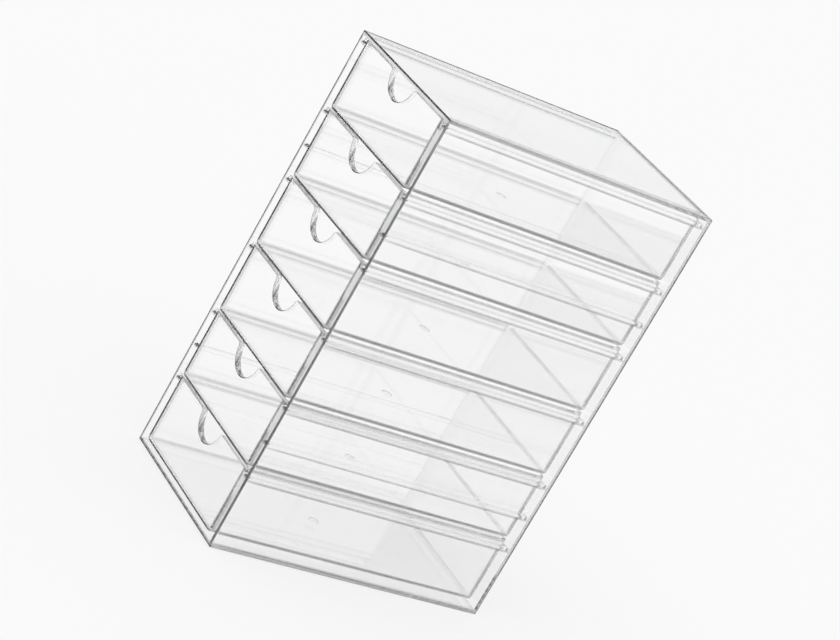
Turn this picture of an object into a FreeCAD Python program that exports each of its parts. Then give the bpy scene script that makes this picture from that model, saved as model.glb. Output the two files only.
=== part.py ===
import FreeCAD, Part
import os
import Sketcher
from FreeCAD import Vector

# Clear desktop organizer with pull-out drawers: a bonded case of five panels, and trays that hang by their
# side rims from rails moulded on the side panels.
# Millimetres, +Z up, fronts towards -Y, origin in the middle of the underside.

# Each row is a driving dimension: its name, its value and what it measures.
SIZES = [
    ("overall_width", 104, "over both side panels"),
    ("overall_depth", 174, "front edges to outside of the back panel"),
    ("overall_height", 250, "underside to top face"),
    ("panel_wall", 2, "thickness of the case panels"),
    ("panel_edge_round", 0.6, "round along the case's outside edges"),
    ("drawer_count", 6, "drawers in the stack"),
    ("gap_over_top_drawer", 0.6, "top panel to the top drawer"),
    ("gap_between_drawers", 1.2, "drawer to drawer"),
    ("gap_under_last_drawer", 2.5, "last drawer to the bottom panel"),
    ("gap_behind_drawers", 0.5, "drawers to the back panel"),
    ("rail_reach", 3.6, "how far a rail stands in from its panel"),
    ("rail_thickness", 1.75, "height of a rail"),
    ("rail_front_set_back", 0.6, "case front to the rail's end"),
    ("rail_lead_in", 1.5, "slope at the rail's front end"),
    ("rail_back_gap", 1, "rail's back end to the back panel"),
    ("spare_rail_count", 2, "spare rails on each side"),
    ("spare_rail_steps", 3, "drawer steps between the spare rails"),
    ("rim_thickness", 1.7, "height of a drawer's side rim"),
    ("rim_running_gap", 0.3, "rim to the rail under it"),
    ("rim_side_gap", 1.4, "rim edge to the side panel"),
    ("wall_side_gap", 1.3, "rail edge to the drawer wall"),
    ("rim_end_gap", 0.2, "end of the front's round to the rim's end"),
    ("rim_lead_in", 4, "length of the slope at the rim's back end"),
    ("rim_lead_in_drop", 1.1, "height of that slope"),
    ("rim_root", 0.8, "slope under the rim, where it leaves the wall"),
    ("front_thickness", 3.2, "drawer front"),
    ("front_edge_round", 0.8, "round along the front's edges and the notch"),
    ("tray_wall", 1.6, "drawer sides and back"),
    ("tray_floor", 1.4, "drawer floor"),
    ("tray_back_corner", 2.5, "outside corners at the back"),
    ("tray_inside_corner", 0.8, "inside corners"),
    ("tray_floor_round", 0.5, "inside, where the walls meet the floor"),
    ("tray_foot_round", 2.3, "outside edges under the walls"),
    ("notch_radius", 12, "finger notch"),
    ("notch_mouth_round", 2.6, "corners of the notch at the top edge"),
    ("gate_recess_radius", 3, "shallow recess under the floor"),
    ("gate_recess_depth", 0.7, "depth of that recess"),
    ("gate_recess_round", 0.6, "round where the recess's wall meets its roof"),
    ("gate_nub_radius", 0.8, "moulding gate in the recess"),
    ("gate_nub_height", 0.25, "height of the gate"),
]

# Lengths worked out from the driving dimensions, in order.
WORKED = [
    ("inner_width", "Sizes.overall_width - 2 * Sizes.panel_wall"),
    ("inner_depth", "Sizes.overall_depth - Sizes.panel_wall"),
    ("inner_height", "Sizes.overall_height - 2 * Sizes.panel_wall"),
    ("under_top_panel", "Sizes.overall_height - Sizes.panel_wall"),
    ("half_width", "Sizes.overall_width / 2"),
    ("half_inner_width", "Worked.inner_width / 2"),
    ("half_depth", "Sizes.overall_depth / 2"),
    ("back_inside", "Worked.half_depth - Sizes.panel_wall"),
    ("gaps_in_height", "Sizes.gap_over_top_drawer + Sizes.gap_under_last_drawer"
                       " + (Sizes.drawer_count - 1) * Sizes.gap_between_drawers"),
    ("drawer_height", "(Worked.inner_height - Worked.gaps_in_height) / Sizes.drawer_count"),
    ("drawer_step", "Worked.drawer_height + Sizes.gap_between_drawers"),
    ("last_drawer_bottom", "Sizes.panel_wall + Sizes.gap_under_last_drawer"),
    ("drawer_length", "Worked.inner_depth - Sizes.gap_behind_drawers"),
    ("half_rim", "Worked.half_inner_width - Sizes.rim_side_gap"),
    ("half_drawer", "Worked.half_inner_width - Sizes.rail_reach - Sizes.wall_side_gap"),
    ("half_inside", "Worked.half_drawer - Sizes.tray_wall"),
    ("inside_back", "Worked.drawer_length - Sizes.tray_wall"),
    ("inside_depth", "Worked.drawer_height - Sizes.tray_floor"),
    ("rim_bottom", "Worked.drawer_height - Sizes.rim_thickness"),
    ("rim_back", "Worked.drawer_length - Sizes.tray_back_corner"),
    ("rim_front", "Sizes.front_edge_round + Sizes.rim_end_gap"),
    ("rim_length", "Worked.rim_back - Worked.rim_front"),
    ("rim_reach", "Worked.half_rim - Worked.half_drawer"),
    ("rim_root_edge", "Worked.half_drawer + Sizes.rim_root"),
    ("rim_root_bottom", "Worked.rim_bottom - Sizes.rim_root"),
    ("rim_slope_start", "Worked.rim_back - Sizes.rim_lead_in"),
    ("rim_end_top", "Worked.drawer_height - Sizes.rim_lead_in_drop"),
    ("rail_front", "-Worked.half_depth + Sizes.rail_front_set_back"),
    ("rail_slope_end", "Worked.rail_front + Sizes.rail_lead_in"),
    ("rail_back", "Worked.back_inside - Sizes.rail_back_gap"),
    ("rail_top", "Worked.last_drawer_bottom + Worked.rim_bottom - Sizes.rim_running_gap"),
    ("rail_bottom", "Worked.rail_top - Sizes.rail_thickness"),
    ("rail_end_top", "Worked.rail_top - Sizes.rail_thickness / 2"),
    ("rail_pattern_length", "(Sizes.drawer_count - 1) * Worked.drawer_step"),
    ("spare_rail_lift", "Worked.drawer_step / 2"),
    ("spare_rail_top", "Worked.rail_top + Worked.spare_rail_lift"),
    ("spare_rail_bottom", "Worked.rail_bottom + Worked.spare_rail_lift"),
    ("spare_rail_end_top", "Worked.rail_end_top + Worked.spare_rail_lift"),
    ("spare_pattern_length", "(Sizes.spare_rail_count - 1) * Sizes.spare_rail_steps * Worked.drawer_step"),
    ("floor_middle", "(Sizes.front_thickness + Worked.inside_back) / 2"),
]

CLOSE = 0.01

doc = FreeCAD.newDocument("DrawerOrganizer")


def make_sheet():
    sheet = doc.addObject("Spreadsheet::Sheet", "Sizes")
    for row, (name, value, meaning) in enumerate(SIZES, start=1):
        sheet.set(f"A{row}", name)
        sheet.set(f"B{row}", str(value))
        sheet.set(f"C{row}", meaning)
        sheet.setAlias(f"B{row}", name)
    doc.recompute()


def make_worked_lengths():
    worked = doc.addObject("App::VarSet", "Worked")
    for name, formula in WORKED:
        worked.addProperty("App::PropertyFloat", name, "Lengths", formula)
        worked.setExpression(name, formula)
    doc.recompute()


def amount(term):
    """The present value of a signed name such as -Worked.half_depth."""
    sign = -1 if term.startswith("-") else 1
    holder, name = term.lstrip("-").split(".")
    return sign * float(getattr(doc.getObject(holder), name))


def body_named(name):
    body = doc.addObject("PartDesign::Body", name)
    body.Label = name
    return body


def sketch_on(body, role, name, lift=None):
    """An empty sketch on one of the body's own planes, lifted along the plane's normal."""
    sketch = body.newObject("Sketcher::SketchObject", f"{body.Name}_{name}_sketch")
    plane = [feature for feature in body.Origin.OriginFeatures if feature.Role == role][0]
    sketch.AttachmentSupport = (plane, "")
    sketch.MapMode = "FlatFace"
    if lift:
        sketch.setExpression("AttachmentOffset.Base.z", lift)
    return sketch


def hold_point(sketch, geometry, end, across, up):
    """Ties a point to its two coordinates, each a signed name or 0."""
    for kind, term, axis in (("DistanceX", across, -2), ("DistanceY", up, -1)):
        if term == "0":
            sketch.addConstraint(Sketcher.Constraint("PointOnObject", geometry, end, axis))
            continue
        index = sketch.addConstraint(Sketcher.Constraint(kind, -1, 1, geometry, end, amount(term)))
        sketch.setExpression(f"Constraints[{index}]", term)


def draw_outline(sketch, corners):
    """A closed outline of straight sides through named corners."""
    points = [Vector(*[0 if term == "0" else amount(term) for term in corner], 0) for corner in corners]
    for start, end in zip(points, points[1:] + points[:1]):
        sketch.addGeometry(Part.LineSegment(start, end), False)
    for side in range(len(corners)):
        follower = (side + 1) % len(corners)
        sketch.addConstraint(Sketcher.Constraint("Coincident", side, 2, follower, 1))
    for side, (across, up) in enumerate(corners):
        hold_point(sketch, side, 1, across, up)


def draw_circle(sketch, across, up, radius):
    middle = Vector(*[0 if term == "0" else amount(term) for term in (across, up)], 0)
    circle = sketch.addGeometry(Part.Circle(middle, Vector(0, 0, 1), amount(radius)), False)
    hold_point(sketch, circle, 3, across, up)
    index = sketch.addConstraint(Sketcher.Constraint("Radius", circle, amount(radius)))
    sketch.setExpression(f"Constraints[{index}]", radius)


def add_feature(body, kind, name, sketch, length, backwards=False):
    """A pad or pocket of a sketch, with its length tied to a named value."""
    before = body.Shape.Volume if body.Tip else 0
    feature = body.newObject(f"PartDesign::{kind}", f"{body.Name}_{name}")
    feature.Profile = sketch
    feature.Reversed = backwards
    feature.setExpression("Length", length)
    sketch.Visibility = False
    doc.recompute()
    change = feature.Shape.Volume - before
    if (change > 0) != (kind == "Pad"):
        raise RuntimeError(f"{feature.Name} changed the volume by {change:.3f}")
    return feature


def soften(body, name, radius, wanted):
    """Rounds the edges of the body's present shape that wanted(edge) picks."""
    base = body.Tip
    edges = [f"Edge{number}" for number, edge in enumerate(base.Shape.Edges, start=1) if wanted(edge)]
    if not edges:
        raise RuntimeError(f"{body.Name} has no edges for {name}")
    fillet = body.newObject("PartDesign::Fillet", f"{body.Name}_{name}")
    fillet.Base = (base, edges)
    fillet.setExpression("Radius", radius)
    doc.recompute()
    return fillet


def box_of(edge):
    return edge.BoundBox


def runs_along(edge, axis):
    """True for a straight edge along X, Y or Z."""
    if edge.Curve.TypeId != "Part::GeomLine":
        return False
    direction = edge.Vertexes[-1].Point - edge.Vertexes[0].Point
    return abs(abs(direction.normalize().dot(axis)) - 1) < CLOSE


def is_near(first, second):
    return abs(first - second) < CLOSE


X = Vector(1, 0, 0)
Y = Vector(0, 1, 0)
Z = Vector(0, 0, 1)


def make_flat_panel(name, plane, corners, lift):
    """A plain sheet of the case."""
    body = body_named(name)
    sketch = sketch_on(body, plane, "outline", lift)
    draw_outline(sketch, corners)
    add_feature(body, "Pad", "sheet", sketch, "Sizes.panel_wall")
    return body


def round_outside_edges(body, level):
    """Rounds a level panel's front and back edges on its outside face."""
    soften(body, "outside_edges", "Sizes.panel_edge_round",
           lambda edge: runs_along(edge, X) and is_near(box_of(edge).ZMin, level))


def make_case_sheets():
    """Top, bottom and back, which fit between the two side panels."""
    level = [
        ("-Worked.half_inner_width", "-Worked.half_depth"),
        ("Worked.half_inner_width", "-Worked.half_depth"),
        ("Worked.half_inner_width", "Worked.half_depth"),
        ("-Worked.half_inner_width", "Worked.half_depth"),
    ]
    top = make_flat_panel("top_panel", "XY_Plane", level, "Worked.under_top_panel")
    round_outside_edges(top, amount("Sizes.overall_height"))
    bottom = make_flat_panel("bottom_panel", "XY_Plane", level, None)
    round_outside_edges(bottom, 0)
    upright = [
        ("-Worked.half_inner_width", "Sizes.panel_wall"),
        ("Worked.half_inner_width", "Sizes.panel_wall"),
        ("Worked.half_inner_width", "Worked.under_top_panel"),
        ("-Worked.half_inner_width", "Worked.under_top_panel"),
    ]
    back = make_flat_panel("back_panel", "XZ_Plane", upright, "-Worked.half_depth")
    return [top, bottom, back]


def add_rails(body, name, side, low, high, end_high, count, row_length):
    """A row of level rails, each with a slope at its front end for the drawer rim to ride up."""
    inwards = "-Sizes.panel_wall" if side > 0 else "Sizes.panel_wall"
    sketch = sketch_on(body, "YZ_Plane", name, inwards)
    draw_outline(sketch, [
        ("Worked.rail_front", low),
        ("Worked.rail_back", low),
        ("Worked.rail_back", high),
        ("Worked.rail_slope_end", high),
        ("Worked.rail_front", end_high),
    ])
    rail = add_feature(body, "Pad", name, sketch, "Sizes.rail_reach", side > 0)
    row = body.newObject("PartDesign::LinearPattern", f"{body.Name}_{name}_row")
    row.Originals = [rail]
    row.Direction = (sketch, ["V_Axis"])
    row.setExpression("Length", row_length)
    row.setExpression("Occurrences", count)
    body.Tip = row
    doc.recompute()


def make_side_panel(name, side):
    """Side is -1 for the left panel and 1 for the right one, which mirrors it."""
    body = body_named(name)
    outline = sketch_on(body, "YZ_Plane", "outline")
    draw_outline(outline, [
        ("-Worked.half_depth", "0"),
        ("Worked.half_depth", "0"),
        ("Worked.half_depth", "Sizes.overall_height"),
        ("-Worked.half_depth", "Sizes.overall_height"),
    ])
    add_feature(body, "Pad", "sheet", outline, "Sizes.panel_wall", side > 0)
    soften(body, "outside_edges", "Sizes.panel_edge_round",
           lambda edge: runs_along(edge, X) or (is_near(box_of(edge).XMin, 0) and is_near(box_of(edge).XMax, 0)))
    add_rails(body, "rails", side, "Worked.rail_bottom", "Worked.rail_top", "Worked.rail_end_top",
              "Sizes.drawer_count", "Worked.rail_pattern_length")
    add_rails(body, "spare_rails", side, "Worked.spare_rail_bottom", "Worked.spare_rail_top",
              "Worked.spare_rail_end_top", "Sizes.spare_rail_count", "Worked.spare_pattern_length")
    body.setExpression("Placement.Base.x", "Worked.half_width" if side > 0 else "-Worked.half_width")
    return body


def pad_tray_block(body):
    outline = sketch_on(body, "XY_Plane", "outline")
    draw_outline(outline, [
        ("-Worked.half_drawer", "0"),
        ("Worked.half_drawer", "0"),
        ("Worked.half_drawer", "Worked.drawer_length"),
        ("-Worked.half_drawer", "Worked.drawer_length"),
    ])
    add_feature(body, "Pad", "block", outline, "Worked.drawer_height")
    back = amount("Worked.drawer_length")
    soften(body, "back_corners", "Sizes.tray_back_corner",
           lambda edge: runs_along(edge, Z) and is_near(box_of(edge).YMin, back))
    soften(body, "foot", "Sizes.tray_foot_round",
           lambda edge: is_near(box_of(edge).ZMax, 0) and not is_near(box_of(edge).YMax, 0))


def hollow_tray(body):
    opening = sketch_on(body, "XY_Plane", "inside", "Worked.drawer_height")
    draw_outline(opening, [
        ("-Worked.half_inside", "Sizes.front_thickness"),
        ("Worked.half_inside", "Sizes.front_thickness"),
        ("Worked.half_inside", "Worked.inside_back"),
        ("-Worked.half_inside", "Worked.inside_back"),
    ])
    add_feature(body, "Pocket", "inside", opening, "Worked.inside_depth")
    floor = amount("Sizes.tray_floor")
    soften(body, "inside_corners", "Sizes.tray_inside_corner",
           lambda edge: runs_along(edge, Z) and is_near(box_of(edge).ZMin, floor))
    soften(body, "floor_round", "Sizes.tray_floor_round",
           lambda edge: is_near(box_of(edge).ZMin, floor) and is_near(box_of(edge).ZMax, floor))


def cut_finger_notch(body):
    """A half round centred on the top edge, with softened corners at its mouth."""
    circle = sketch_on(body, "XZ_Plane", "notch")
    draw_circle(circle, "0", "Worked.drawer_height", "Sizes.notch_radius")
    add_feature(body, "Pocket", "notch", circle, "Sizes.front_thickness")
    top = amount("Worked.drawer_height")
    mouth = amount("Sizes.notch_radius")
    soften(body, "notch_mouth", "Sizes.notch_mouth_round",
           lambda edge: runs_along(edge, Y) and is_near(box_of(edge).ZMin, top)
           and is_near(abs(box_of(edge).XMin), mouth))


def round_front(body):
    """One round that runs all round the front's face and down through the notch."""
    soften(body, "front_edges", "Sizes.front_edge_round", lambda edge: is_near(box_of(edge).YMax, 0))


def add_side_rims(body):
    """The rims that carry the tray on the rails, with a slope at the back end to find the rail."""
    profile = sketch_on(body, "XZ_Plane", "rim", "-Worked.rim_front")
    draw_outline(profile, [
        ("Worked.half_drawer", "Worked.rim_root_bottom"),
        ("Worked.rim_root_edge", "Worked.rim_bottom"),
        ("Worked.half_rim", "Worked.rim_bottom"),
        ("Worked.half_rim", "Worked.drawer_height"),
        ("Worked.half_drawer", "Worked.drawer_height"),
    ])
    rim = add_feature(body, "Pad", "rim", profile, "Worked.rim_length", True)
    slope = sketch_on(body, "YZ_Plane", "rim_slope", "Worked.half_drawer")
    draw_outline(slope, [
        ("Worked.rim_slope_start", "Worked.drawer_height"),
        ("Worked.rim_back", "Worked.rim_end_top"),
        ("Worked.rim_back", "Worked.drawer_height"),
    ])
    cut = add_feature(body, "Pocket", "rim_slope", slope, "Worked.rim_reach", True)
    other_side = body.newObject("PartDesign::Mirrored", f"{body.Name}_other_rim")
    other_side.Originals = [rim, cut]
    other_side.MirrorPlane = (profile, ["V_Axis"])
    body.Tip = other_side
    doc.recompute()


def finish_underside(body):
    """The moulding gate, in its shallow recess."""
    recess = sketch_on(body, "XY_Plane", "gate_recess")
    draw_circle(recess, "0", "Worked.floor_middle", "Sizes.gate_recess_radius")
    add_feature(body, "Pocket", "gate_recess", recess, "Sizes.gate_recess_depth", True)
    roof = amount("Sizes.gate_recess_depth")
    soften(body, "gate_recess_round", "Sizes.gate_recess_round",
           lambda edge: is_near(box_of(edge).ZMin, roof) and is_near(box_of(edge).ZMax, roof))
    nub = sketch_on(body, "XY_Plane", "gate_nub", "Sizes.gate_recess_depth")
    draw_circle(nub, "0", "Worked.floor_middle", "Sizes.gate_nub_radius")
    add_feature(body, "Pad", "gate_nub", nub, "Sizes.gate_nub_height", True)


def make_drawer(number):
    """Drawer 1 is at the top. Its own origin is the lower edge of its front, in the middle."""
    body = body_named(f"drawer_{number}")
    pad_tray_block(body)
    hollow_tray(body)
    cut_finger_notch(body)
    round_front(body)
    add_side_rims(body)
    finish_underside(body)
    steps = f"(Sizes.drawer_count - {number}) * Worked.drawer_step"
    body.setExpression("Placement.Base.y", "-Worked.half_depth")
    body.setExpression("Placement.Base.z", f"Worked.last_drawer_bottom + {steps}")
    return body


def check_all(pieces):
    doc.recompute()
    for item in doc.Objects:
        if "Invalid" in item.State or "Error" in item.State:
            raise RuntimeError(f"{item.Name} failed: {item.State}")
    for piece in pieces:
        if piece.Shape.isNull() or not piece.Shape.isValid() or len(piece.Shape.Solids) != 1:
            raise RuntimeError(f"{piece.Label} is not one sound solid")


def write_all(pieces):
    os.makedirs("parts", exist_ok=True)
    for piece in pieces:
        piece.Shape.exportStep(f"parts/{piece.Label}.step")
        print(piece.Label, round(piece.Shape.Volume), "mm3")


make_sheet()
make_worked_lengths()
organizer = make_case_sheets()
organizer.append(make_side_panel("left_side_panel", -1))
organizer.append(make_side_panel("right_side_panel", 1))
for place in range(int(amount("Sizes.drawer_count"))):
    organizer.append(make_drawer(place + 1))
check_all(organizer)
write_all(organizer)
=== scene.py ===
import math

import bpy
from mathutils import Matrix, Vector


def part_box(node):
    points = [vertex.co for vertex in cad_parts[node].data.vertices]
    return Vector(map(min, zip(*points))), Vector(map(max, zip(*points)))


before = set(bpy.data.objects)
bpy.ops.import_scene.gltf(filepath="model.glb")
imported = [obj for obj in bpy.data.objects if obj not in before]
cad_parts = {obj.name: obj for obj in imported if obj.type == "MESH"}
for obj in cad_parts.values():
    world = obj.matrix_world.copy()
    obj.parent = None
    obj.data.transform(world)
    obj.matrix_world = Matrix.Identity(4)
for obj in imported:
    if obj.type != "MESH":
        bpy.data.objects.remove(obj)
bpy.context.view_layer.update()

# Where the camera stands, in metres from the middle of the organizer's underside, and how it is held.
CAMERA_PLACE = Vector((1.1494, -0.8751, 0.5468))
CAMERA_LOOKS_AT = Vector((-0.0031, -0.0020, 0.1294))
CAMERA_ROLL = math.radians(29.96)
CAMERA_LENS = 124.5

TABLE_RADIUS = 6.0
TABLE_SIDES = 96
TABLE_GAP = 0.0005
TABLE_TONE = "#868686"
TABLE_GLOW = 0.73

LAMP_PLACE = (0.5, -1.0, 2.0)
LAMP_SPREAD = math.radians(60)
LAMP_STRENGTH = 0.9

BACKGROUND_WHITE = "#FAFAFA"
STUDIO_DARK = "#2E2E30"
STUDIO_SWEEP = "#EDEDEE"
STUDIO_CEILING = "#8A8A8C"
# Shares of the way to straight back and to straight up, between which the studio changes its shade.
STUDIO_BEHIND = (-0.35, 0.1)
STUDIO_OVERHEAD = (0.4, 0.75)
# Up to the first of these angles the studio is white, and from the second up it has its shades.
HORIZON = (math.radians(3), math.radians(6))
ROOM_STRENGTH = 0.7

POLYSTYRENE_IOR = 1.59
SHADOW_TINT = "#F4F4F5"
WELD_TINT = "#F4F4F4"
# The colours of the painted shade and of the painted light that the plastic's edges are mixed with.
PAINTED_SHADE_TONE = "#1E1E20"
PAINTED_LIGHT_TONE = "#F2F2F3"
# A round begins where a face leans off its axis, as the largest part of its normal, and there a faint painted
# shade is mixed in.
EDGE_STARTS = 0.99
EDGE_FULL = 0.9
ROUND_PAINTED_SHADE = 0.05
# The share of a zone's half width over which it fades.
SHADE_SOFTNESS = 0.15
# Rims rub on rails between a tray's wall and the side panel, at these distances from the middle plane.
SATIN = 0.1
WALL_OUTSIDE = 0.0452
PANEL_INSIDE = 0.0499

# Zones of the two plastics: the least x, y and z in metres, the greatest, and a share from nought to one.
# By that share a dim zone is mixed with a dark matt colour, a painted shade that stands for the dark of the
# room an edge would carry to the eye, a pale zone with a pale matt colour, a painted light that stands for
# the room's light, and a CLEAR zone lets light go straight on. Heights on trays and on their rails start at
# the tray's underside.
# Painted shade on the case's edges.
CASE_PAINTED_SHADE = [
    # the right panel's front edge
    ((0.0499, -0.0875, -0.01), (0.0515, -0.0862, 0.26), 0.62),
    # the left panel's front edge
    ((-0.0525, -0.0875, -0.01), (-0.0506, -0.0862, 0.26), 0.68),
    # the bottom panel's front edge, and a fainter line over it
    ((-0.06, -0.0875, -0.001), (0.06, -0.0862, 0.0013), 0.68),
    ((-0.06, -0.0875, 0.0013), (0.06, -0.0862, 0.002), 0.3),
    # the top panel's front edge
    ((-0.06, -0.0875, 0.249), (0.06, -0.0862, 0.2505), 0.61),
    # the top's left edge, along its whole depth
    ((-0.0525, -0.0862, 0.2492), (-0.0493, 0.09, 0.2505), 0.6),
    # the right panel's lower edge, and a fainter band over it
    ((0.0512, -0.0862, -0.001), (0.0525, 0.09, 0.0006), 0.5),
    ((0.0512, -0.0862, 0.0006), (0.0525, 0.09, 0.0032), 0.25),
    # the right panel's back edge
    ((0.0512, 0.0857, 0.0008), (0.0525, 0.0875, 0.2492), 0.65),
    # the top's back edge, and the line where the back panel stands under it
    ((-0.06, 0.0858, 0.2492), (0.0512, 0.0875, 0.2505), 0.15),
    ((-0.0509, 0.0823, 0.2499), (0.0509, 0.0845, 0.2501), 0.52),
    # the undersides of the two spare rails
    ((0.0496, -0.0855, 0.0597), (0.0504, 0.0849, 0.0608), 0.4),
    ((0.0496, -0.0855, 0.1817), (0.0504, 0.0849, 0.1828), 0.4),
]
# Painted light on strips of the case.
CASE_PAINTED_LIGHT = [
    # the lower half of the top panel's front edge
    ((-0.0499, -0.0875, 0.2479), (0.0499, -0.0868, 0.2492), 0.8),
    # a strip on the top, inside its left edge
    ((-0.0490, -0.086, 0.2499), (-0.0435, 0.0855, 0.2501), 0.5),
    # a strip on the top along its right edge, and the round beyond it
    ((0.0485, -0.086, 0.2499), (0.0525, 0.0865, 0.2505), 0.35),
    ((0.0508, -0.086, 0.2485), (0.0525, 0.0865, 0.2505), 0.25),
    # the right panel's lower back corner, along both of its edges
    ((0.0512, 0.042, -0.001), (0.0525, 0.0875, 0.0032), 0.33),
    ((0.0512, 0.0855, 0.0032), (0.0525, 0.0875, 0.026), 0.33),
]
# Painted shade under the rails.
RAIL_PAINTED_SHADE = [
    # the undersides of the right rails
    ((0.0496, -0.0855, 0.0348), (0.0504, 0.0849, 0.0359), 0.45),
    # the left rails
    ((-0.0502, -0.0855, 0.0355), (-0.0462, 0.0849, 0.0377), 0.05),
]
# Painted shade on the trays' edges.
TRAY_PAINTED_SHADE = [
    # the front's left edge
    ((-0.0450, -0.0875, 0.001), (-0.0432, -0.0861, 0.05), 0.82),
    # the front's lower edge
    ((-0.0453, -0.0875, 0.0002), (0.0453, -0.0861, 0.0013), 0.8),
    # the front's right edge
    ((0.0438, -0.0875, 0.001), (0.0453, -0.0861, 0.05), 0.22),
    # the rounds under the right and the left wall
    ((0.0428, -0.084, -0.001), (0.0453, 0.082, 0.0023), 0.36),
    ((-0.0453, -0.084, -0.001), (-0.0428, 0.082, 0.0023), 0.15),
    # the right back corner
    ((0.0415, 0.0819, 0.0023), (0.0453, 0.0847, 0.04), 0.3),
    # where the left rim meets its wall
    ((-0.0465, -0.0835, 0.0375), (-0.0452, 0.0829, 0.0397), 0.05),
]
# Painted shade in the notch, on its rounds.
NOTCH_PAINTED_SHADE = [
    # the right half of the notch, with its mouth
    ((-0.001, -0.0875, 0.026), (0.0125, -0.0861, 0.0385), 0.85),
    # low on the left half of the notch
    ((-0.0115, -0.0861, 0.0285), (-0.006, -0.0836, 0.0325), 0.3),
]
NOTCH_CLEAR = [
    # the left half of the notch, with its mouth
    ((-0.0145, -0.0875, 0.026), (-0.001, -0.0836, 0.0397), 0.5),
]
# Painted light on strips of the trays' fronts.
TRAY_PAINTED_LIGHT = [
    # a strip over the front's lower edge
    ((-0.0438, -0.0875, 0.0016), (0.0438, -0.0861, 0.0026), 0.6),
    # a strip inside the front's left edge
    ((-0.0429, -0.0875, 0.0026), (-0.0412, -0.0861, 0.0395), 0.55),
    # the front's upper edge
    ((-0.0438, -0.0875, 0.0386), (0.0438, -0.0843, 0.0397), 0.4),
    # the front's right end
    ((0.0445, -0.0861, 0.001), (0.0455, -0.0838, 0.0395), 0.6),
]
TRAY_CLEAR = [
    # the left rim, away from its wall
    ((-0.0488, -0.0835, 0.0375), (-0.0466, 0.0829, 0.0397), 0.6),
    # the top of the right wall
    ((0.0434, -0.0835, 0.0385), (0.0452, 0.0829, 0.0397), 0.6),
    # the left back corner
    ((-0.0453, 0.0815, 0.001), (-0.0415, 0.0847, 0.0395), 0.6),
    # the round under the back wall
    ((-0.0415, 0.0815, -0.001), (0.0415, 0.0847, 0.0023), 0.5),
]
# Within this of a plane, in metres, a face counts as lying on it.
HAIR = 0.00003


def linear(hex_colour):
    """The linear colour of an sRGB hex value."""
    channels = [int(hex_colour[place:place + 2], 16) / 255 for place in (1, 3, 5)]
    return tuple(c / 12.92 if c <= 0.04045 else ((c + 0.055) / 1.055) ** 2.4 for c in channels) + (1.0,)


def add_node(tree, kind, settings=None, inputs=None):
    """Adds a node with its settings. Each input is set to a value or linked to another node's output."""
    node = tree.nodes.new(kind)
    for name, value in (settings or {}).items():
        setattr(node, name, value)
    for name, value in (inputs or {}).items():
        if isinstance(value, bpy.types.NodeSocket):
            tree.links.new(value, node.inputs[name])
        else:
            node.inputs[name].default_value = value
    return node


def new_material(name):
    """A material with no nodes yet."""
    material = bpy.data.materials.new(name)
    material.use_nodes = True
    material.node_tree.nodes.clear()
    return material, material.node_tree


def rounded_edges(tree):
    """One on the rounds along the edges and nought on the level and upright faces."""
    place = add_node(tree, "ShaderNodeTexCoord")
    parts = add_node(tree, "ShaderNodeSeparateXYZ", inputs={0: place.outputs["Normal"]})
    sides = [add_node(tree, "ShaderNodeMath", {"operation": "ABSOLUTE"}, {0: parts.outputs[axis]}).outputs[0]
             for axis in "XYZ"]
    nearest = combine(tree, "MAXIMUM", *sides)
    return add_node(tree, "ShaderNodeMapRange", {"interpolation_type": "SMOOTHSTEP"}, {
        "Value": nearest,
        "From Min": EDGE_STARTS,
        "From Max": EDGE_FULL,
    }).outputs[0]


def within(tree, spot, low, high):
    """One inside a box between two corners, with a soft change at its sides."""
    middle = [(least + most) / 2 for least, most in zip(low, high)]
    half = [(most - least) / 2 for least, most in zip(low, high)]
    offset = add_node(tree, "ShaderNodeVectorMath", {"operation": "SUBTRACT"}, {
        0: spot,
        1: middle,
    }).outputs[0]
    share = add_node(tree, "ShaderNodeVectorMath", {"operation": "DIVIDE"}, {0: offset, 1: half}).outputs[0]
    size = add_node(tree, "ShaderNodeVectorMath", {"operation": "ABSOLUTE"}, {0: share}).outputs[0]
    sides = add_node(tree, "ShaderNodeSeparateXYZ", inputs={0: size})
    farthest = combine(tree, "MAXIMUM", *(sides.outputs[axis] for axis in "XYZ"))
    return ramp(tree, farthest, 1 + SHADE_SOFTNESS, 1 - SHADE_SOFTNESS)


def zone_strength(tree, spot, zones):
    """The strongest share of the zones that a spot lies in."""
    strongest = 0.0
    for low, high, amount in zones:
        share = add_node(tree, "ShaderNodeMath", {"operation": "MULTIPLY"}, {
            0: within(tree, spot, low, high),
            1: amount,
        }).outputs[0]
        strongest = combine(tree, "MAXIMUM", strongest, share)
    return strongest


def on_rounds(tree, amount):
    """An amount on the rounds, and nought on the faces between them."""
    return add_node(tree, "ShaderNodeMath", {"operation": "MULTIPLY"}, {
        0: rounded_edges(tree),
        1: amount,
    }).outputs[0]


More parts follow.
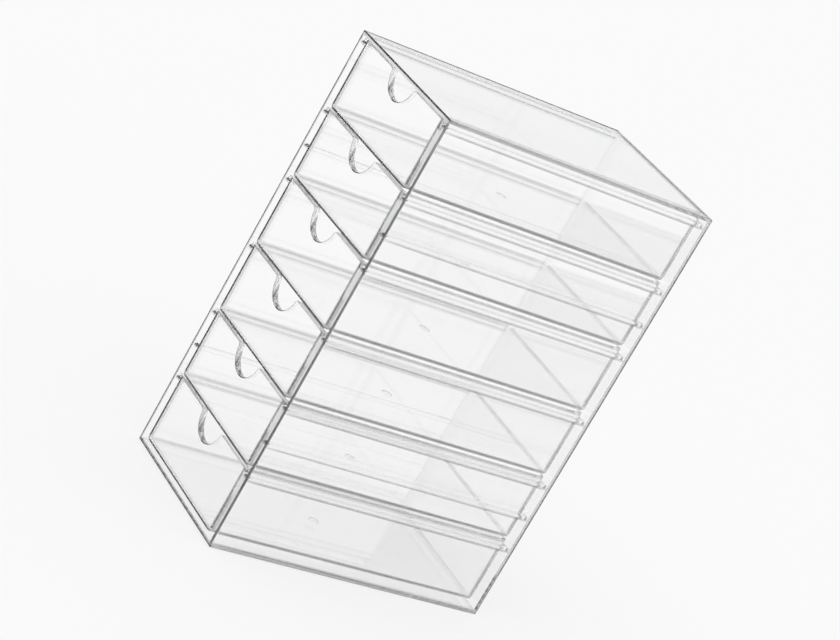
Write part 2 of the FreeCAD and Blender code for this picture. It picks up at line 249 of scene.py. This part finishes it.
def clear_plastic(tree, painted_shade, painted_light, clear, satin):
    """Crystal polystyrene: glass-clear, with more bend than window glass, and with painted shade and painted
    light on its edges, so that its edges draw the object.

    An edge is mixed with a dark matt colour, a painted shade that stands for the dark of the room seen in it,
    and with a pale matt colour, a painted light that stands for the room's light. Where a moulded corner
    hardly shows, light goes straight on. It throws only a thin shadow.
    """
    plastic = add_node(tree, "ShaderNodeBsdfPrincipled", inputs={
        "Base Color": linear("#FFFFFF"),
        "Roughness": satin,
        "IOR": POLYSTYRENE_IOR,
        "Transmission Weight": 1.0,
    })
    # A dark matt colour for the painted shade on edges, and a pale one for the painted light.
    painted_shade_bsdf = add_node(tree, "ShaderNodeBsdfDiffuse", inputs={"Color": linear(PAINTED_SHADE_TONE)})
    painted_light_bsdf = add_node(tree, "ShaderNodeBsdfDiffuse", inputs={"Color": linear(PAINTED_LIGHT_TONE)})
    with_painted_shade = add_node(tree, "ShaderNodeMixShader", inputs={0: painted_shade, 1: plastic.outputs[0], 2: painted_shade_bsdf.outputs[0]})
    with_painted_light = add_node(tree, "ShaderNodeMixShader", inputs={0: painted_light, 1: with_painted_shade.outputs[0], 2: painted_light_bsdf.outputs[0]})
    straight_on = add_node(tree, "ShaderNodeBsdfTransparent")
    eased = add_node(tree, "ShaderNodeMixShader", inputs={
        0: clear,
        1: with_painted_light.outputs[0],
        2: straight_on.outputs[0],
    })
    thin_shadow = add_node(tree, "ShaderNodeBsdfTransparent", inputs={"Color": linear(SHADOW_TINT)})
    ray = add_node(tree, "ShaderNodeLightPath")
    return add_node(tree, "ShaderNodeMixShader", inputs={
        0: ray.outputs["Is Shadow Ray"],
        1: eased.outputs[0],
        2: thin_shadow.outputs[0],
    })


def satin_slides(tree, spot, nearest, farthest):
    """The roughness: satin between two distances from the middle plane, where rims rub on rails."""
    parts = add_node(tree, "ShaderNodeSeparateXYZ", inputs={0: spot})
    side = add_node(tree, "ShaderNodeMath", {"operation": "ABSOLUTE"}, {0: parts.outputs["X"]}).outputs[0]
    slides = combine(tree, "MINIMUM", beyond(tree, side, nearest), short_of(tree, side, farthest))
    return add_node(tree, "ShaderNodeMath", {"operation": "MULTIPLY"}, {0: slides, 1: SATIN}).outputs[0]


def compare(tree, value, place):
    """One where a coordinate lies on a plane, to within a hair."""
    return add_node(tree, "ShaderNodeMath", {"operation": "COMPARE"}, {
        0: value,
        1: place,
        2: HAIR,
    }).outputs[0]


def beyond(tree, value, place):
    """One where a coordinate is on a plane or past it."""
    return add_node(tree, "ShaderNodeMath", {"operation": "GREATER_THAN"}, {
        0: value,
        1: place - HAIR,
    }).outputs[0]


def short_of(tree, value, place):
    """One where a coordinate is on a plane or before it."""
    return add_node(tree, "ShaderNodeMath", {"operation": "LESS_THAN"}, {
        0: value,
        1: place + HAIR,
    }).outputs[0]


def combine(tree, operation, *masks):
    """Joins masks, MAXIMUM for either and MINIMUM for both."""
    joined = masks[0]
    for mask in masks[1:]:
        joined = add_node(tree, "ShaderNodeMath", {"operation": operation}, {0: joined, 1: mask}).outputs[0]
    return joined


def bonded_faces(tree):
    """Where two case panels are welded with solvent, so that light passes as through one piece."""
    place = add_node(tree, "ShaderNodeTexCoord")
    parts = add_node(tree, "ShaderNodeSeparateXYZ", inputs={0: place.outputs["Object"]})
    side = add_node(tree, "ShaderNodeMath", {"operation": "ABSOLUTE"}, {0: parts.outputs["X"]}).outputs[0]
    depth = parts.outputs["Y"]
    height = parts.outputs["Z"]
    back_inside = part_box("back_panel")[0].y
    top_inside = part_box("top_panel")[0].z
    bottom_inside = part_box("bottom_panel")[1].z
    side_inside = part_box("top_panel")[1].x
    ends = combine(tree, "MAXIMUM", beyond(tree, height, top_inside), short_of(tree, height, bottom_inside),
                   beyond(tree, depth, back_inside))
    at_sides = combine(tree, "MINIMUM", compare(tree, side, side_inside), ends)
    levels = combine(tree, "MAXIMUM", compare(tree, height, top_inside), compare(tree, height, bottom_inside))
    at_back = combine(tree, "MINIMUM", levels, beyond(tree, depth, back_inside))
    return combine(tree, "MAXIMUM", at_sides, at_back)


def place_in_step(tree, spot):
    """Where a spot is, with its height counted afresh from each tray's underside."""
    parts = add_node(tree, "ShaderNodeSeparateXYZ", inputs={0: spot})
    first, second, last = (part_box(f"drawer_{number}")[0].z for number in (1, 2, 6))
    raised = add_node(tree, "ShaderNodeMath", {"operation": "SUBTRACT"}, {
        0: parts.outputs["Z"],
        1: last,
    }).outputs[0]
    height = add_node(tree, "ShaderNodeMath", {"operation": "FLOORED_MODULO"}, {
        0: raised,
        1: first - second,
    }).outputs[0]
    return add_node(tree, "ShaderNodeCombineXYZ", inputs={
        "X": parts.outputs["X"],
        "Y": parts.outputs["Y"],
        "Z": height,
    }).outputs[0]


def make_case_plastic():
    """Clear polystyrene, moulded as sheet and joined with solvent: glass-clear, with painted shade on its
    edges and painted light on a few strips.
    """
    material, tree = new_material("clear_polystyrene_moulded_sheet")
    spot = add_node(tree, "ShaderNodeTexCoord").outputs["Object"]
    # Painted shade under the rails, on the rounds and on the case's edges, and painted light on the pale
    # strips.
    rail_painted_shade = zone_strength(tree, place_in_step(tree, spot), RAIL_PAINTED_SHADE)
    painted_shade = combine(tree, "MAXIMUM", on_rounds(tree, ROUND_PAINTED_SHADE), zone_strength(tree, spot, CASE_PAINTED_SHADE), rail_painted_shade)
    satin = satin_slides(tree, spot, WALL_OUTSIDE, PANEL_INSIDE)
    plastic = clear_plastic(tree, painted_shade, zone_strength(tree, spot, CASE_PAINTED_LIGHT), 0.0, satin)
    weld = add_node(tree, "ShaderNodeBsdfTransparent", inputs={"Color": linear(WELD_TINT)})
    surface = add_node(tree, "ShaderNodeMixShader", inputs={
        0: bonded_faces(tree),
        1: plastic.outputs[0],
        2: weld.outputs[0],
    })
    add_node(tree, "ShaderNodeOutputMaterial", inputs={"Surface": surface.outputs[0]})
    return material


def place_in_tray(tree):
    """Where a spot is, with its height from the underside of its own tray."""
    place = add_node(tree, "ShaderNodeTexCoord")
    spot = add_node(tree, "ShaderNodeSeparateXYZ", inputs={0: place.outputs["Object"]})
    share = add_node(tree, "ShaderNodeSeparateXYZ", inputs={0: place.outputs["Generated"]})
    low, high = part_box("drawer_1")
    height = add_node(tree, "ShaderNodeMath", {"operation": "MULTIPLY"}, {
        0: share.outputs["Z"],
        1: high.z - low.z,
    }).outputs[0]
    return add_node(tree, "ShaderNodeCombineXYZ", inputs={
        "X": spot.outputs["X"],
        "Y": spot.outputs["Y"],
        "Z": height,
    }).outputs[0]


def make_tray_plastic():
    """Clear polystyrene, injection moulded: glass-clear, with painted light along its front edge, painted
    shade on its rounds, edges and notch, and a soft notch.
    """
    material, tree = new_material("clear_polystyrene_moulded_tray")
    spot = place_in_tray(tree)
    # Painted shade on the rounds, strongest in the notch, and on the tray's edges; painted light on the
    # front's pale strips.
    round_painted_shade = combine(tree, "MAXIMUM", ROUND_PAINTED_SHADE, zone_strength(tree, spot, NOTCH_PAINTED_SHADE))
    painted_shade = combine(tree, "MAXIMUM", on_rounds(tree, round_painted_shade), zone_strength(tree, spot, TRAY_PAINTED_SHADE))
    notch_clear = on_rounds(tree, zone_strength(tree, spot, NOTCH_CLEAR))
    clear = combine(tree, "MAXIMUM", notch_clear, zone_strength(tree, spot, TRAY_CLEAR))
    satin = satin_slides(tree, spot, WALL_OUTSIDE, PANEL_INSIDE)
    plastic = clear_plastic(tree, painted_shade, zone_strength(tree, spot, TRAY_PAINTED_LIGHT), clear, satin)
    add_node(tree, "ShaderNodeOutputMaterial", inputs={"Surface": plastic.outputs[0]})
    return material


def make_table():
    """A wide white table top, as a round sheet."""
    points = []
    for side in range(TABLE_SIDES):
        angle = 2 * math.pi * side / TABLE_SIDES
        points.append((TABLE_RADIUS * math.cos(angle), TABLE_RADIUS * math.sin(angle), -TABLE_GAP))
    mesh = bpy.data.meshes.new("table")
    mesh.from_pydata(points, [], [list(range(TABLE_SIDES))])
    table = bpy.data.objects.new("table", mesh)
    bpy.context.scene.collection.objects.link(table)
    mesh.materials.append(make_table_white())


def make_table_white():
    """Matt white laminate: to the eye an even white with no gloss, on which a soft shadow shows."""
    material, tree = new_material("matt_white_laminate")
    matt = add_node(tree, "ShaderNodeBsdfDiffuse", inputs={"Color": linear(TABLE_TONE)})
    glow = add_node(tree, "ShaderNodeEmission", inputs={"Color": linear("#FFFFFF"), "Strength": TABLE_GLOW})
    both = add_node(tree, "ShaderNodeAddShader", inputs={0: matt.outputs[0], 1: glow.outputs[0]})
    add_node(tree, "ShaderNodeOutputMaterial", inputs={"Surface": both.outputs[0]})
    return material


def ramp(tree, value, low, high):
    """Nought below low and one above high, with a soft change between."""
    return add_node(tree, "ShaderNodeMapRange", {"interpolation_type": "SMOOTHSTEP"}, {
        "Value": value,
        "From Min": low,
        "From Max": high,
    }).outputs[0]


def blend_colours(tree, share, first, second):
    """The first colour at nought and the second at one."""
    return add_node(tree, "ShaderNodeMix", {"data_type": "RGBA"}, {
        "Factor": share,
        "A": first,
        "B": second,
    }).outputs["Result"]


def make_studio():
    """White all round to the eye. Clear plastic finds it white behind, and dim in front and overhead."""
    world = bpy.data.worlds.new("studio")
    bpy.context.scene.world = world
    world.use_nodes = True
    tree = world.node_tree
    tree.nodes.clear()
    place = add_node(tree, "ShaderNodeTexCoord")
    parts = add_node(tree, "ShaderNodeSeparateXYZ", inputs={0: place.outputs["Generated"]})
    up = parts.outputs["Z"]
    behind = ramp(tree, parts.outputs["Y"], STUDIO_BEHIND[0], STUDIO_BEHIND[1])
    overhead = ramp(tree, up, STUDIO_OVERHEAD[0], STUDIO_OVERHEAD[1])
    above = ramp(tree, up, math.sin(HORIZON[0]), math.sin(HORIZON[1]))
    walls = blend_colours(tree, behind, linear(STUDIO_DARK), linear(STUDIO_SWEEP))
    room_above = blend_colours(tree, overhead, walls, linear(STUDIO_CEILING))
    shade = blend_colours(tree, above, linear(BACKGROUND_WHITE), room_above)
    ray = add_node(tree, "ShaderNodeLightPath")
    seen_in_plastic = add_node(tree, "ShaderNodeMath", {"operation": "MAXIMUM"}, {
        0: ray.outputs["Is Glossy Ray"],
        1: ray.outputs["Is Transmission Ray"],
    })
    room = add_node(tree, "ShaderNodeBackground", inputs={
        "Color": linear("#FFFFFF"),
        "Strength": ROOM_STRENGTH,
    })
    mirrored = add_node(tree, "ShaderNodeBackground", inputs={"Color": shade})
    backdrop = add_node(tree, "ShaderNodeBackground", inputs={"Color": linear(BACKGROUND_WHITE)})
    first = add_node(tree, "ShaderNodeMixShader", inputs={
        0: seen_in_plastic.outputs[0],
        1: room.outputs[0],
        2: mirrored.outputs[0],
    })
    second = add_node(tree, "ShaderNodeMixShader", inputs={
        0: ray.outputs["Is Camera Ray"],
        1: first.outputs[0],
        2: backdrop.outputs[0],
    })
    add_node(tree, "ShaderNodeOutputWorld", inputs={"Surface": second.outputs[0]})


def make_lamp():
    """A wide, even light from the front and above, which gives the table its soft shadow."""
    data = bpy.data.lights.new("soft_lamp", "SUN")
    data.energy = LAMP_STRENGTH
    data.angle = LAMP_SPREAD
    lamp = bpy.data.objects.new("soft_lamp", data)
    bpy.context.scene.collection.objects.link(lamp)
    lamp.location = LAMP_PLACE
    lamp.rotation_mode = "QUATERNION"
    lamp.rotation_quaternion = (-Vector(LAMP_PLACE)).to_track_quat("-Z", "Y")


def make_camera():
    """The camera of the photograph, held tilted, so that the upright organizer leans in the picture."""
    data = bpy.data.cameras.new("camera")
    data.lens = CAMERA_LENS
    camera = bpy.data.objects.new("camera", data)
    bpy.context.scene.collection.objects.link(camera)
    turn = (CAMERA_LOOKS_AT - CAMERA_PLACE).to_track_quat("-Z", "Y").to_matrix()
    rolled = turn @ Matrix.Rotation(CAMERA_ROLL, 3, "Z")
    camera.matrix_world = Matrix.Translation(CAMERA_PLACE) @ rolled.to_4x4()
    bpy.context.scene.camera = camera


def dress(material, nodes):
    """Gives CAD nodes their finish."""
    for name in nodes:
        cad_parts[name].material_slots[0].material = material


scene = bpy.context.scene
scene.view_settings.view_transform = "Standard"
scene.cycles.max_bounces = 160
scene.cycles.transmission_bounces = 64
scene.cycles.glossy_bounces = 128
scene.cycles.transparent_max_bounces = 64

make_camera()
make_studio()
make_table()
make_lamp()
case_nodes = [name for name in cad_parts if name.endswith("panel")]
drawer_nodes = [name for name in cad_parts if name.startswith("drawer")]
dress(make_case_plastic(), case_nodes)
dress(make_tray_plastic(), drawer_nodes)
